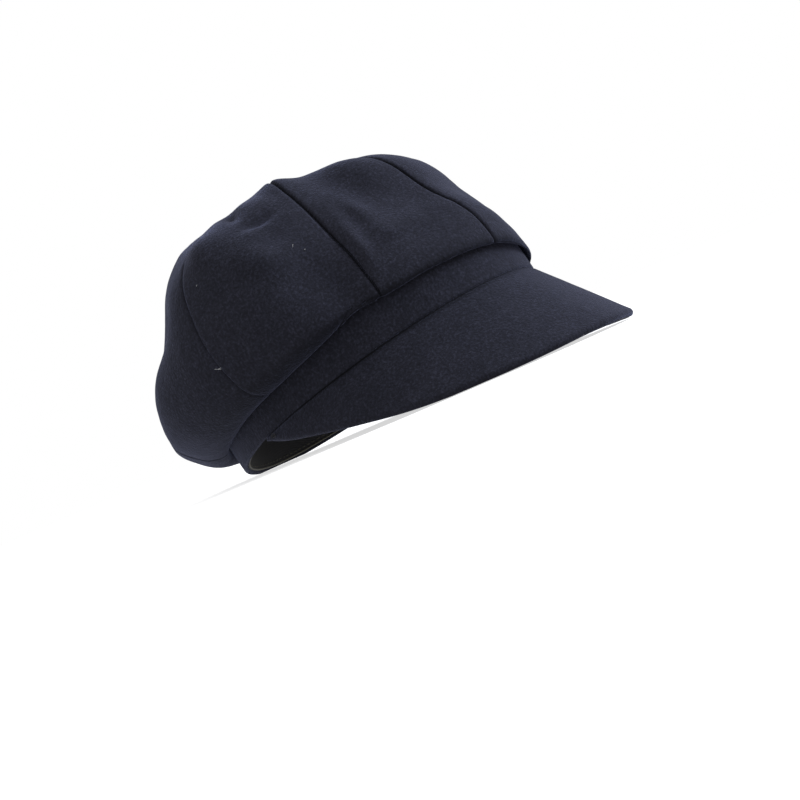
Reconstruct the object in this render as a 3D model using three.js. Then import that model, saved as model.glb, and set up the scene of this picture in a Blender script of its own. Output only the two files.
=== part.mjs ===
// A baker boy cap of navy wool: a full crown of eight panels, a band, a deep curved peak and a sweatband.
//
// The cap is worked out in its own frame, where the band's lower edge lies in the plane z = 0, the peak
// points to -Y and the wearer's right is at -X. It is then tipped back until it rests by itself on a
// table, on the lip of the peak and the back of the band. Lengths are in millimetres and angles in
// degrees. Angles round the cap start at the middle of the front and grow towards the wearer's left.
import * as THREE from "three";

// Driving dimensions

const BAND_HALF_LENGTH = 102; // outside of the band, front to back
const BAND_HALF_WIDTH = 84; // outside of the band, side to side
const BAND_BACK_TAPER = 0.14; // how much narrower than an ellipse the band is towards the nape
const BAND_HEIGHT = 25;
const BAND_THICKNESS = 2.4; // wool with its facing
const SWEATBAND_THICKNESS = 1.0;
const SWEATBAND_FOOT = 1.2; // how far its lower edge sits above the band's
const SWEATBAND_HEIGHT = 22.5;
const CLOTH = 2.0; // thickness of the crown's wool
const TUCK_CLOTH = 1.2; // the same, where it is pressed into the seam on the band
const PEAK_COVER = 2.4; // wool over the top of the peak, with the stiffening that it is stuck to
const PEAK_LINING = 1.8; // wool under the peak
const SEAM_GAP = 0.3; // between pieces that are sewn together
const PANELS = 8;
const REST_SINK = 1.0; // the soft edges flatten by this much where they rest

// Crown: a row for each seam between two panels. Each pair is a station's distance out from the band's
// outside, which is negative inside it, and its height above the band's lower edge. The cloth leaves
// the band at the joint, turns at the tuck, swells at the bulge, and runs up the wall and over the
// shoulder and the crest to the middle of the crown. It sags to the wearer's right and to the back.
const CROWN_ROWS = [
  { seam: 0, tuck: [5, 18], bulge: [4.5, 32], wall: [-4, 57], shoulder: [-19, 88], crest: [-47, 101] },
  { seam: 45, tuck: [4.5, 20.5], bulge: [-1, 34], wall: [-8, 58], shoulder: [-18, 84], crest: [-43, 107] },
  { seam: 90, tuck: [7, 18], bulge: [14, 38], wall: [11, 65], shoulder: [-5, 94], crest: [-40, 111] },
  { seam: 135, tuck: [8, 10], bulge: [16, 31], wall: [11, 59], shoulder: [-11, 90], crest: [-40, 116] },
  { seam: 180, tuck: [8.5, 13], bulge: [18, 33], wall: [13, 57], shoulder: [-14, 88], crest: [-40, 117.5] },
  { seam: 225, tuck: [10, 12], bulge: [24, 32], wall: [15, 56], shoulder: [-14, 87], crest: [-38, 117] },
  { seam: 270, tuck: [11, 16], bulge: [27, 38], wall: [24, 63], shoulder: [0, 97], crest: [-39, 109] },
  { seam: 315, tuck: [5.5, 20], bulge: [4, 31], wall: [-4, 57], shoulder: [-20, 85], crest: [-45, 111] },
];
const STATIONS = [
  { name: "tuck", along: 0.1 }, // "along" is the share of a panel's length, from the band to the middle
  { name: "bulge", along: 0.24 },
  { name: "wall", along: 0.42 },
  { name: "shoulder", along: 0.62 },
  { name: "crest", along: 0.8 },
];
const CROWN_REACH = 93; // from the joint in to the middle of the crown, on the stations' scale
const MIDDLE_BACK = 16; // how far behind the band's middle the eight panels meet
const MIDDLE_UP = 110; // height of that point, which sinks between the folds round it
const PANEL_PUFF = 1.6; // how far the middle of a panel stands out between its seams
const SEAM_GROOVE = 1.2; // depth of the dip along a seam
const SEAM_GROOVE_WIDTH = 2.6;
const PANEL_TIP = 0.995; // a panel stops this far along, where the eight tips meet

// The crown's main folds: a row for each, placed by its angle round the crown and its share of the way
// along a panel. It runs at a heading, which is 0 round the crown and 90 up it. Length and width are
// from its middle to where it has faded, and the lift is positive on a ridge and negative in a dent.
const FOLDS = [
  { angle: -106, along: 0.53, heading: 0, length: 26, width: 12, lift: -5.5 },
  { angle: -118, along: 0.37, heading: 0, length: 28, width: 12, lift: 5 },
  { angle: -84, along: 0.67, heading: 90, length: 15, width: 10, lift: 3 },
  { angle: -75, along: 0.78, heading: 0, length: 16, width: 10, lift: 1.5 },
  { angle: -69, along: 0.73, heading: 95, length: 17, width: 6, lift: -6 },
  { angle: -68, along: 0.53, heading: 134, length: 20, width: 7, lift: 2.2 },
  { angle: -58, along: 0.64, heading: 20, length: 13, width: 6, lift: -5.5 },
  { angle: -57, along: 0.52, heading: 57, length: 10, width: 5, lift: 2.2 },
  { angle: -41, along: 0.8, heading: 0, length: 11, width: 10, lift: 3 },
  { angle: -39, along: 0.38, heading: 89, length: 9, width: 5, lift: 1.6 },
  { angle: -37, along: 0.5, heading: 118, length: 10, width: 5, lift: -2.2 },
  { angle: -33, along: 0.69, heading: 105, length: 28, width: 6, lift: -5 },
  { angle: -29, along: 0.5, heading: 122, length: 13, width: 5.5, lift: 2.8 },
  { angle: -28, along: 0.39, heading: 111, length: 12, width: 6, lift: 1.8 },
  { angle: -15, along: 0.71, heading: 90, length: 13, width: 12, lift: 2.2 },
  { angle: -10, along: 0.46, heading: 92, length: 24, width: 8, lift: 1.8 },
  { angle: 30, along: 0.6, heading: 80, length: 20, width: 9, lift: 1.8 },
  { angle: 62, along: 0.62, heading: 98, length: 24, width: 7, lift: -3.2 },
  { angle: 80, along: 0.5, heading: 60, length: 16, width: 9, lift: 2.2 },
  { angle: 108, along: 0.52, heading: 0, length: 28, width: 12, lift: -4.5 },
  { angle: 122, along: 0.36, heading: 0, length: 30, width: 12, lift: 4 },
  { angle: 148, along: 0.68, heading: 100, length: 20, width: 7, lift: -2.6 },
  { angle: 165, along: 0.5, heading: 15, length: 26, width: 10, lift: -3 },
];

// Peak: a row for each angle from the middle of the front to its end, where it dies away into the
// band. "fall" is how steeply it slopes below the band's plane.
const PEAK_ROWS = [
  { angle: 0, depth: 63.5, fall: 55 },
  { angle: 26, depth: 59.5, fall: 56.5 },
  { angle: 52, depth: 46, fall: 60 },
  { angle: 78, depth: 23, fall: 62.5 },
  { angle: 105, depth: 0, fall: 63 },
];
const PEAK_SPREAD = 0.6; // how far the peak fans out to the sides, where 1 is square to the band
const PEAK_END = 103.5; // the cloth stops at this angle
const PEAK_LEAST = 1.5; // depth of the peak at its ends

// How finely the faces are divided

const PANEL_COLUMNS = [0, 0.05, 0.14, 0.26, 0.38, 0.5, 0.62, 0.74, 0.86, 0.95, 1]; // shares of its width
const PANEL_ROWS = 22;
const RING_COLUMNS = 64;
const PEAK_COLUMNS = 38;
const PEAK_SHARES = [0, 0.3, 0.65, 0.94, 0.98, 1]; // of the depth, out to the lip
const LIP_ROLL = [0, 0, 0, 0, 0.3, 1.1]; // how far the cover's face rolls over towards the lip

const SEAM_STEP = 360 / PANELS;
const RAD = Math.PI / 180;
const ANGLE_STEP = 0.5; // steps that slopes are measured over
const ALONG_STEP = 0.005;

// Smooth curve through values at knots, by cubic pieces whose slopes come from the neighbours.
function smooth(knots, values, at) {
  const last = knots.length - 1;
  const slope = (i) => {
    const a = Math.max(i - 1, 0);
    const b = Math.min(i + 1, last);
    return (values[b] - values[a]) / (knots[b] - knots[a]);
  };
  let i = 0;
  while (i < last - 1 && at > knots[i + 1]) i += 1;
  const span = knots[i + 1] - knots[i];
  const s = (at - knots[i]) / span;
  const s2 = s * s;
  const s3 = s2 * s;
  return (
    values[i] * (2 * s3 - 3 * s2 + 1) +
    slope(i) * span * (s3 - 2 * s2 + s) +
    values[i + 1] * (3 * s2 - 2 * s3) +
    slope(i + 1) * span * (s3 - s2)
  );
}

// Evenly spaced values from a to b.
function steps(a, b, count) {
  return Array.from({ length: count + 1 }, (_, i) => a + ((b - a) * i) / count);
}

// The band's outline, scaled about its middle.
function ring(angle, scale, up) {
  const back = Math.max(-Math.cos(angle * RAD), 0);
  const halfWidth = BAND_HALF_WIDTH * (1 - BAND_BACK_TAPER * back * back);
  return new THREE.Vector3(
    halfWidth * scale * Math.sin(angle * RAD),
    -BAND_HALF_LENGTH * scale * Math.cos(angle * RAD),
    up,
  );
}

// Unit vector square to the band's outline, pointing out.
function ringOut(angle) {
  const round = ring(angle + ANGLE_STEP, 1, 0).sub(ring(angle - ANGLE_STEP, 1, 0));
  return new THREE.Vector3(round.y, -round.x, 0).normalize();
}

// A station of the crown at an angle, by a smooth curve through the seams' rows all round.
function stationAt(name, part, angle) {
  const turn = (((angle % 360) + 360) % 360) / SEAM_STEP;
  const first = Math.floor(turn);
  const nearby = [-1, 0, 1, 2];
  const values = nearby.map((i) => CROWN_ROWS[(first + i + PANELS) % PANELS][name][part]);
  return smooth(nearby, values, turn - first);
}

// The crown's base form, before its puffed panels and folds.
const crownKnots = [0, ...STATIONS.map((station) => station.along), 1];

function crownBase(angle, along) {
  const outs = [0, ...STATIONS.map((station) => stationAt(station.name, 0, angle)), -CROWN_REACH];
  const ups = STATIONS.map((station) => stationAt(station.name, 1, angle));
  const heights = [BAND_HEIGHT + SEAM_GAP, ...ups, MIDDLE_UP];
  const scale = 1 + smooth(crownKnots, outs, along) / CROWN_REACH;
  const point = ring(angle, scale, smooth(crownKnots, heights, along));
  point.y += MIDDLE_BACK * Math.max(1 - scale, 0);
  return point;
}

// Outward normal of a surface given as a function of angle and share along.
function normalOf(surface, angle, along) {
  const low = Math.max(along - ALONG_STEP, 0);
  const high = Math.min(along + ALONG_STEP, 0.999);
  const round = surface(angle + ANGLE_STEP, along).sub(surface(angle - ANGLE_STEP, along));
  const up = surface(angle, high).sub(surface(angle, low));
  return round.cross(up).normalize();
}

// Where each fold sits: its middle, and the directions along, across and out of it.
const foldFrames = FOLDS.map((fold) => {
  const middle = crownBase(fold.angle, fold.along);
  const out = normalOf(crownBase, fold.angle, fold.along);
  const round = crownBase(fold.angle + ANGLE_STEP, fold.along).sub(middle).normalize();
  const run = round.applyAxisAngle(out, fold.heading * RAD);
  return { ...fold, middle, out, run, side: out.clone().cross(run) };
});

// How far the folds lift the cloth at a point of the crown's base form.
function foldLift(point) {
  let lift = 0;
  for (const fold of foldFrames) {
    const away = point.clone().sub(fold.middle);
    const a = away.dot(fold.run) / fold.length;
    const b = away.dot(fold.side) / fold.width;
    const c = away.dot(fold.out) / fold.length;
    lift += fold.lift * Math.exp(-a * a - b * b - c * c);
  }
  return lift;
}

// The crown with its puffed panels and folds.
function crownSurface(angle, along) {
  const point = crownBase(angle, along);
  const share = (((angle % SEAM_STEP) + SEAM_STEP) % SEAM_STEP) / SEAM_STEP;
  const fromMiddle = Math.abs(2 * share - 1);
  const fade = Math.sin(Math.PI * Math.min(along / 0.96, 1)) ** 0.8;
  const puff = PANEL_PUFF * fade * (1 - fromMiddle * fromMiddle);
  return point.addScaledVector(normalOf(crownBase, angle, along), puff + foldLift(point));
}

// A closed solid between two matching grids of points, the outer and inner faces of a piece of cloth.
// Where it is a ring, the last column of each grid meets the first.
function clothSolid(outer, inner, isRing) {
  const columns = outer.length;
  const rows = outer[0].length;
  const points = [outer, inner].flat(2);
  const faces = [];
  const at = (face, c, r) => (face * columns + (c % columns)) * rows + r;
  const quad = (a, b, c, d) => faces.push(a, b, c, a, c, d);
  const spans = isRing ? columns : columns - 1;
  const top = rows - 1;
  for (let c = 0; c < spans; c += 1) {
    for (let r = 0; r < top; r += 1) {
      quad(at(0, c, r), at(0, c + 1, r), at(0, c + 1, r + 1), at(0, c, r + 1));
      quad(at(1, c, r), at(1, c, r + 1), at(1, c + 1, r + 1), at(1, c + 1, r));
    }
    quad(at(0, c, 0), at(1, c, 0), at(1, c + 1, 0), at(0, c + 1, 0));
    quad(at(0, c, top), at(0, c + 1, top), at(1, c + 1, top), at(1, c, top));
  }
  if (!isRing) {
    for (let r = 0; r < top; r += 1) {
      quad(at(0, 0, r), at(0, 0, r + 1), at(1, 0, r + 1), at(1, 0, r));
      quad(at(0, spans, r), at(1, spans, r), at(1, spans, r + 1), at(0, spans, r + 1));
    }
  }
  const geometry = new THREE.BufferGeometry().setFromPoints(points);
  geometry.setIndex(faces);
  return geometry;
}

// Crown panels

function crownPanel(index) {
  const outer = [];
  const inner = [];
  for (const share of PANEL_COLUMNS) {
    const outerColumn = [];
    const innerColumn = [];
    const seamAngle = (index + share) * SEAM_STEP;
    for (const along of steps(0, PANEL_TIP, PANEL_ROWS)) {
      const width = crownBase(seamAngle, along).distanceTo(crownBase(seamAngle + 1, along));
      const inset = (SEAM_GAP / 2 / width) * (1 - 2 * share);
      const point = crownSurface(seamAngle + inset, along);
      const normal = normalOf(crownSurface, seamAngle, along);
      const fromSeam = Math.min(share, 1 - share) * SEAM_STEP * width;
      const groove = SEAM_GROOVE * Math.exp(-((fromSeam / SEAM_GROOVE_WIDTH) ** 2));
      const thickness = TUCK_CLOTH + (CLOTH - TUCK_CLOTH) * Math.min(along / STATIONS[1].along, 1);
      outerColumn.push(point.clone().addScaledVector(normal, -groove));
      innerColumn.push(point.clone().addScaledVector(normal, -thickness));
    }
    outer.push(outerColumn);
    inner.push(innerColumn);
  }
  return clothSolid(outer, inner, false);
}

// Band and sweatband: upright walls that follow the head's outline, with softened edges

function wallRing(setBack, thickness, foot, height) {
  const edge = Math.min(thickness * 0.3, 0.8);
  const top = foot + height;
  const outer = [];
  const inner = [];
  for (let i = 0; i < RING_COLUMNS; i += 1) {
    const angle = (360 / RING_COLUMNS) * i;
    const out = ringOut(angle);
    const wall = (up, depth) => ring(angle, 1, up).addScaledVector(out, -setBack - depth);
    outer.push([wall(foot, edge), wall(foot + edge, 0), wall(top - edge, 0), wall(top, edge)]);
    inner.push([
      wall(foot, thickness - edge),
      wall(foot + edge, thickness),
      wall(top - edge, thickness),
      wall(top, thickness - edge),
    ]);
  }
  return clothSolid(outer, inner, true);
}

// Peak: a cover over a lining, both fanned out from the band's lower edge

const peakAngles = PEAK_ROWS.map((row) => row.angle);

function peakPoint(angle, share, drop) {
  const at = (column) => smooth(peakAngles, PEAK_ROWS.map((row) => row[column]), Math.abs(angle));
  const fan = new THREE.Vector3(PEAK_SPREAD * Math.sin(angle * RAD), -Math.cos(angle * RAD), 0).normalize();
  const fall = at("fall") * RAD;
  const run = fan.clone().multiplyScalar(Math.cos(fall)).setZ(-Math.sin(fall));
  const face = fan.clone().multiplyScalar(Math.sin(fall)).setZ(Math.cos(fall));
  const depth = Math.max(at("depth"), PEAK_LEAST);
  return ring(angle, 1, -SEAM_GAP).addScaledVector(run, depth * share).addScaledVector(face, -drop);
}

function peakSolid(top, thickness, roll) {
  const outer = [];
  const inner = [];
  for (const angle of steps(PEAK_END, -PEAK_END, PEAK_COLUMNS)) {
    outer.push(PEAK_SHARES.map((share, i) => peakPoint(angle, share, top + roll * LIP_ROLL[i])));
    inner.push(PEAK_SHARES.map((share) => peakPoint(angle, share, top + thickness)));
  }
  return clothSolid(outer, inner, false);
}

// Materials

function cloth(color, roughness) {
  return new THREE.MeshStandardMaterial({ color, roughness, metalness: 0 });
}

const NAVY_WOOL = 0x2c2e3b;
const BLACK_TAPE = 0x17171a;

// Pieces

const pieces = [];

function piece(name, geometry, material) {
  pieces.push({ name, geometry, material });
}

for (let i = 0; i < PANELS; i += 1) piece(`crown_panel_${i + 1}`, crownPanel(i), cloth(NAVY_WOOL, 0.95));
piece("band", wallRing(0, BAND_THICKNESS, 0, BAND_HEIGHT), cloth(NAVY_WOOL, 0.95));
piece(
  "sweatband",
  wallRing(BAND_THICKNESS + SEAM_GAP, SWEATBAND_THICKNESS, SWEATBAND_FOOT, SWEATBAND_HEIGHT),
  cloth(BLACK_TAPE, 0.85),
);
piece("peak_cover", peakSolid(0, PEAK_COVER, 1), cloth(NAVY_WOOL, 0.95));
piece("peak_lining", peakSolid(PEAK_COVER + SEAM_GAP, PEAK_LINING, 0), cloth(NAVY_WOOL, 0.95));

// Resting place

function allPoints() {
  const points = [];
  for (const { geometry } of pieces) {
    const place = geometry.getAttribute("position");
    for (let i = 0; i < place.count; i += 1) points.push(new THREE.Vector3().fromBufferAttribute(place, i));
  }
  return points;
}

// The tilt, front up, at which the lip of the peak and the back of the band are level.
function restTilt() {
  const points = allPoints();
  const front = points.filter((point) => point.y < 0);
  const back = points.filter((point) => point.y > 0);
  const lowest = (some, tilt) => Math.min(...some.map((p) => p.z * Math.cos(tilt) - p.y * Math.sin(tilt)));
  let low = 0;
  let high = 30 * RAD;
  for (let i = 0; i < 40; i += 1) {
    const tilt = (low + high) / 2;
    if (lowest(front, tilt) < lowest(back, tilt)) low = tilt;
    else high = tilt;
  }
  return low;
}

const tip = new THREE.Matrix4().makeRotationX(-restTilt());
for (const { geometry } of pieces) geometry.applyMatrix4(tip);
const box = new THREE.Box3().setFromPoints(allPoints());
const middle = box.getCenter(new THREE.Vector3());

const cap = new THREE.Group();
for (const { name, geometry, material } of pieces) {
  geometry.translate(-middle.x, -middle.y, -box.min.z - REST_SINK);
  const place = geometry.getAttribute("position");
  for (let i = 0; i < place.count; i += 1) place.setZ(i, Math.max(place.getZ(i), 0));
  geometry.computeVertexNormals();
  const mesh = new THREE.Mesh(geometry, material);
  mesh.name = name;
  cap.add(mesh);
}

export default cap;
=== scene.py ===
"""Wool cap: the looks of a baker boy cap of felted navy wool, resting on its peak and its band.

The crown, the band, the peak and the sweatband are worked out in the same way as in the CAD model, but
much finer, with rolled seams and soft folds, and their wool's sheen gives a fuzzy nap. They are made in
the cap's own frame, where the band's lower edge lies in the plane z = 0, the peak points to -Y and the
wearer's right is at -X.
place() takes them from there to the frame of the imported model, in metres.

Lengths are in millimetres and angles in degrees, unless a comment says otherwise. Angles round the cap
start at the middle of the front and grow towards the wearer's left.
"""
import math
import random

import bpy
import numpy as np
from mathutils import Matrix, Vector, noise


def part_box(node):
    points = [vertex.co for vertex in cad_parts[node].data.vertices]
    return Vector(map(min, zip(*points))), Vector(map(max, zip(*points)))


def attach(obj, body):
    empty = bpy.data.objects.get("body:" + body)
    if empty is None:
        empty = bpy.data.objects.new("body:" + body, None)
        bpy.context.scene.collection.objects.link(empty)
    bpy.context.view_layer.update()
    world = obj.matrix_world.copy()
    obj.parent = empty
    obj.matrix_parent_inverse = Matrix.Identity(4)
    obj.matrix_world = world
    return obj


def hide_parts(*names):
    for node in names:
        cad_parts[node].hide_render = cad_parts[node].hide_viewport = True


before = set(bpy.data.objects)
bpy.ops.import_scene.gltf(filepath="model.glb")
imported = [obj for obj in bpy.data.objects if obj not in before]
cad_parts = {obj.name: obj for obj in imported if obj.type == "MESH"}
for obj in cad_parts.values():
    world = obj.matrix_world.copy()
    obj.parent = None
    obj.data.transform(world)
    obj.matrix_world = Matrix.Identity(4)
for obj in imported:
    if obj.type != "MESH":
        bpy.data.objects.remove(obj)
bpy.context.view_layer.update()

# Driving dimensions

BAND_HALF_LENGTH = 102.0
BAND_HALF_WIDTH = 84.0
BAND_BACK_TAPER = 0.14  # how much narrower than an ellipse the band is towards the nape
BAND_HEIGHT = 25.0
BAND_THICKNESS = 2.4
BAND_ROUND_FOOT = 1.4  # height over which the band's lower edge is rounded
SWEATBAND_THICKNESS = 1.0
SWEATBAND_FOOT = 1.2  # how far its lower edge sits above the band's
SWEATBAND_HEIGHT = 22.5
SWEATBAND_ROUND_FOOT = 0.5
CLOTH = 2.0  # thickness of the crown's wool
TUCK_CLOTH = 0.6  # the same, where it is pressed into its seam with the band
CLOTH_GAP = 0.3  # between pieces that are sewn together
PANELS = 8
PANEL_ANGLE = 360 / PANELS
REST_TILT = math.radians(13.46)  # front up, as the cap rests on its peak and the back of its band
MM = 0.001  # in metres

# Crown

# Each station's share of the way along a panel, from the band to the middle of the crown.
STATIONS = {"tuck": 0.07, "roll": 0.14, "bulge": 0.24, "wall": 0.42, "shoulder": 0.62, "crest": 0.8}

# A row for each seam, from the front round by the wearer's left. For each station in turn it gives the
# distance out from the band, which is negative inside it, and the height.
CROWN_ROWS = np.array(
    [
        [(2.7, 16.5), (6, 18), (4, 36), (-5.5, 57), (-20, 89), (-45, 103.5)],
        [(1.5, 8), (3.2, 9), (2.3, 25), (-6.5, 56), (-18, 84), (-43, 107)],
        [(2.8, 13), (11.5, 16), (17, 36), (11, 65), (-5, 94), (-40, 111)],
        [(2.8, 12), (13.5, 15), (18, 32), (11, 59), (-11, 90), (-40, 116)],
        [(2.8, 13.5), (13.5, 17), (20, 34), (13, 57), (-14, 88), (-40, 117.5)],
        [(2.8, 13), (14.5, 15.5), (26, 32), (14.5, 54.5), (-13.5, 85.5), (-39.5, 116)],
        [(2.8, 15), (19, 20), (26.5, 38), (24.5, 62.5), (8.5, 91), (-37.5, 110.5)],
        [(2.8, 19), (7.5, 21.5), (6, 32), (-4, 56), (-20, 87), (-43, 109)],
    ]
)

CROWN_REACH = 93.0  # from the band in to the middle of the crown, on the stations' scale
MIDDLE_BACK = 16.0  # how far behind the band's middle the eight panels meet
MIDDLE_UP = 110.0
PANEL_TIP = 0.9998  # share of the way along where a panel ends
PANEL_PUFF = 1.6  # how far the middle of a panel stands out between its seams
PUFF_END = 0.96  # share of the way along where that has faded
PUFF_CURVE = 0.8  # below 1, it rises and fades more steeply at the ends

# Folds

# Angle round the crown, share along a panel, heading, length, width and lift. A heading of 0 runs round
# the crown and one of 90 up it. The lift is positive on a ridge and negative in a dent.
FOLDS = [
    (-118, 0.37, 20, 25, 14, 3.7),
    (-109, 0.54, 15, 19, 14, -5.5),
    (-82.5, 0.65, 92, 12.5, 11.5, 4),
    (-71.5, 0.74, 102, 12.5, 4.5, -5.5),
    (-66, 0.47, 142, 18, 9, 4),
    (-65.5, 0.72, -18, 25, 11.5, 2.2),
    (-63, 0.64, 14, 9, 4, -3.3),
    (-60.5, 0.48, 84, 33, 10, -3.9),
    (-59.5, 0.49, 58, 10.5, 6, 3.1),
    (-54, 0.25, 99, 26, 12, -5.7),
    (-51, 0.69, 96, 13, 5, -0.8),
    (-46, 0.45, 89, 30, 5.5, -0.8),
    (-44, 0.79, -4, 9, 11.5, 3.2),
    (-41, 0.38, 89, 15, 4, 3.3),
    (-34.5, 0.5, 94, 11, 4.2, -2.9),
    (-33, 0.49, 108, 11, 6, 2.7),
    (-30.5, 0.37, 104, 8, 5, 1.1),
    (-24, 0.6, 102, 35, 12, -5.6),
    (-20, 0.28, 11, 20, 11, -3.4),
    (-10.5, 0.73, 115, 21, 11.5, 1.8),
    (-10, 0.46, 87, 25, 13, -4.3),
    (21, 0.3, 121, 28, 14, -2.4),
    (32, 0.6, 80, 20, 9, 1.8),
    (62, 0.62, 98, 24, 7, -3.2),
    (80, 0.5, 60, 16, 9, 2.2),
    (108, 0.52, 0, 28, 12, -4.5),
    (122, 0.36, 0, 30, 12, 4),
    (148, 0.68, 100, 20, 7, -2.6),
    (165, 0.5, 15, 26, 10, -3),
]

# Peak

# Angle from the middle of the front, depth, and how steeply it falls below the band's plane.
PEAK_ROWS = [(0, 63.5, 55), (26, 59.5, 56.5), (52, 46, 60), (78, 23, 62.5), (105, 0, 63)]

PEAK_SPREAD = 0.6  # how far it fans out to the sides, where 1 is square to the band
PEAK_END = 103.5  # the angle where its cloth stops
PEAK_LEAST = 1.5  # its depth there
COVER_CLOTH = 1.5  # thickness of the cover's wool
LINING_CLOTH = 1.2
LIP_RADIUS = 2.25
LIP_WRAP = math.radians(158)  # how far the cover rolls round the lip
MOST_LIP = 0.6  # the most of the peak's depth that the lip's radius takes up, near the ends
LINING_SHORT = 0.9  # how far short of the lip's roll the lining starts to curl
LINING_CURL = 1.3  # radius of that curl
LINING_CURL_TURN = math.radians(80)
ROOT_DIP = 0.4  # how deep the peak's cloth dips into its seam with the band
ROOT_ROLL = 1.0  # how wide that dip is
ROOT_TUCK = 0.9  # how far the cloth goes up into the seam

# Seams between the panels

SEAM_GAP = 0.005  # each side of a seam
MOST_GAP_ANGLE = 1.0  # the most that it comes to as an angle, where the panels meet
SEAM_DIP = 1.5  # how deep the panels roll down into a seam
SEAM_ROLL = 0.95  # how wide that roll is
DIP_START = 0.06  # share of the way along where the dip starts to deepen
DIP_GROWTH = 0.12  # share over which it would grow from nothing to its full depth
LEAST_DIP = 0.25  # share of the dip that there is against the band
SEAM_ALLOWANCE = 4.5  # where the turned edges under the cloth end
SEAM_ALLOWANCE_FADE = 1.2
SEAM_RIDGE = 0.12  # how much they lift it
INNER_EDGE = 0.9  # thickness of the turned edges, seen from inside
INNER_EDGE_WIDTH = 6.0
INNER_EDGE_FADE = 0.5
INNER_EDGE_TOP = 0.97  # share of the way along where they end
INNER_EDGE_GROWTH = 0.05  # share over which they grow at the bulge and fade at their top
SEAM_MARKS = [1.0, 0.9, 0.7, 0.7, 0.8, 0.55, 0.35, 1.0]  # how plainly each seam shows, in its dip and its painted shade, from the front

# Painted shade in creases, seams and hollows, from 0 on open cloth to 1 where the wool is darkest

CREASE_SHADE = (0.1, 0.1, 0.12)  # painted shade: what is left of the wool's colour deep in a crease
SEAM_SHADE_HALF_WIDTH = 0.85 * SEAM_ROLL  # half the width of the painted shade along a seam
TUCK_SHADE_END = 0.165  # share of the way along where the painted shade starts, as a panel starts to roll under against the band
TUCK_SHADE_FADE = 0.09
MOST_TUCK_SHADE = 0.7
INSIDE_SHADE = 0.35  # painted shade that makes each sheet's inner face a little darker, such as the inside of the crown and the underside of the peak's lining
BAND_SHADE_DROP = 7.0  # from the band's top down to where the painted shade of the crown has faded
BAND_SHADE_FADE = 8.0
MOST_BAND_SHADE = 0.05
ROOT_SHADES = (1, 1, 1, 1, 0.9, 0.6, 0.3)  # painted shade for the peak's first rows of points, from the band, down in its seam
LIP_SHADES = (0.1, 0.25, 0.4, 0.55, 0.65, 0.75, 0.85, 0.95, 1)  # painted shade for its last rows, under the lip

# Unevenness of the cloth

SOFT_WAVES = [(34.0, 0.55), (13.0, 0.26), (5.5, 0.1)]  # wavelength and height
FIRM_WAVES = 0.5  # share of that height on the band, the sweatband and the peak
SEED_SHIFT = (3.7, 1.3)  # moves the pattern for each seed
CROWN_SEED = 1
BAND_SEED = 2
SWEATBAND_SEED = 3
PEAK_SEED = 4
RING_TOP_THINNING = 0.35  # share of a ring's thickness that each of its faces draws in at the top
RING_TOP_FADE = 0.8

# How finely the faces are divided

SEAM_COLUMNS = [0, 0.0035, 0.0075, 0.012, 0.018, 0.026, 0.037, 0.052, 0.07]  # shares, beside a seam
MIDDLE_COLUMNS = 40
LOWER_PART = 0.3  # share of a panel, from the band up, whose rows are closer
LOWER_ROWS = 52
UPPER_ROWS = 88
RING_STEP = 1.0
ROUND_FOOT_ROWS = 7
RING_ROWS = 24
PEAK_COLUMNS = 240
TUCK_SHARES = [-1, -0.4]  # of the way that the peak's cover goes up into its seam
ROOT_SHARES = [0, 0.008, 0.018, 0.03, 0.045, 0.065]  # of its depth, beside the band
COVER_SHARES = np.linspace(0.09, 1, 32)
LINING_SHARES = np.linspace(0, 1, 34)
LIP_ROWS = 14
LINING_CURL_ROWS = 7
ANGLE_STEP = 0.5  # steps that slopes are measured over
ALONG_STEP = 0.005
MOST_ALONG = 0.999  # slopes are measured up to here, because all panels meet at 1

# Lint

# Angle and share along its panel, how many fibres, and their length.
LINT = [(-90.5, 0.236, 3, 1.9), (-57.8, 0.487, 2, 1.0), (-55.2, 0.464, 1, 0.8), (-85.0, 0.531, 1, 1.0)]

LINT_SEED = 11
LINT_RADIUS = 0.12
LINT_POINTS = 7
LINT_BEND = 0.4  # as a share of its length
LINT_LIFT = 0.15  # above the cloth
LINT_ARCH = 0.5
LINT_HELPER = (0.2, 0.1, 1.0)  # any direction that the cloth doesn't face there

# Threads

THREAD_SIDES = 5
THREAD_TAPER = 0.75  # makes its ends half as thick as its middle
THREAD_HELPER = (0.31, 0.52, 0.79)  # any direction along which no thread runs
THREAD_RADIUS = 0.16
THREAD_END_ANGLE = 99.0
THREAD_END_SHARE = 0.6  # of the peak's depth there
THREAD_CURLS = [(0.0, 1.3, 1.1), (1.6, 1.1, 0.8), (-1.2, 0.7, 0.7)]  # start, turns and radius
THREAD_POINTS = 40
THREAD_DRIFT = 0.16  # how far a curl moves along for each radian
THREAD_LIFT = 0.35
THREAD_WAVE = 0.12
STITCH_STEP = 2.5  # from one stitch to the next
STITCH_START = 0.08  # shares of that step
STITCH_END = 0.78
STITCH_POINTS = 6
STITCH_HEIGHT = 3.6
STITCH_RADIUS = 0.28
STITCH_SINK = 1.6  # how much deeper its ends lie than its middle, in radii
STITCH_LIFT = 0.5  # how far its middle stands out, in radii
SELVEDGE_HEIGHT = 1.7
SELVEDGE_RADIUS = 0.45
SELVEDGE_STEP = 2.0
LIP_LINE_END = 96.0
LIP_LINE_OUT = 0.75  # from where the lip starts to curve, out to the pale line under it
LIP_LINE_DROP = 4.4
LIP_LINE_RADIUS = 0.3
LIP_LINE_POINTS = 220

# Wool's looks

# Colours from the dark to the light of its grain.
NAVY = [(0.0098, 0.0102, 0.0156), (0.0186, 0.0194, 0.0296), (0.0455, 0.0478, 0.0728)]
NAVY_UNDER = [(0.0082, 0.0084, 0.0115), (0.017, 0.0175, 0.0243), (0.0443, 0.0461, 0.0623)]

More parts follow.
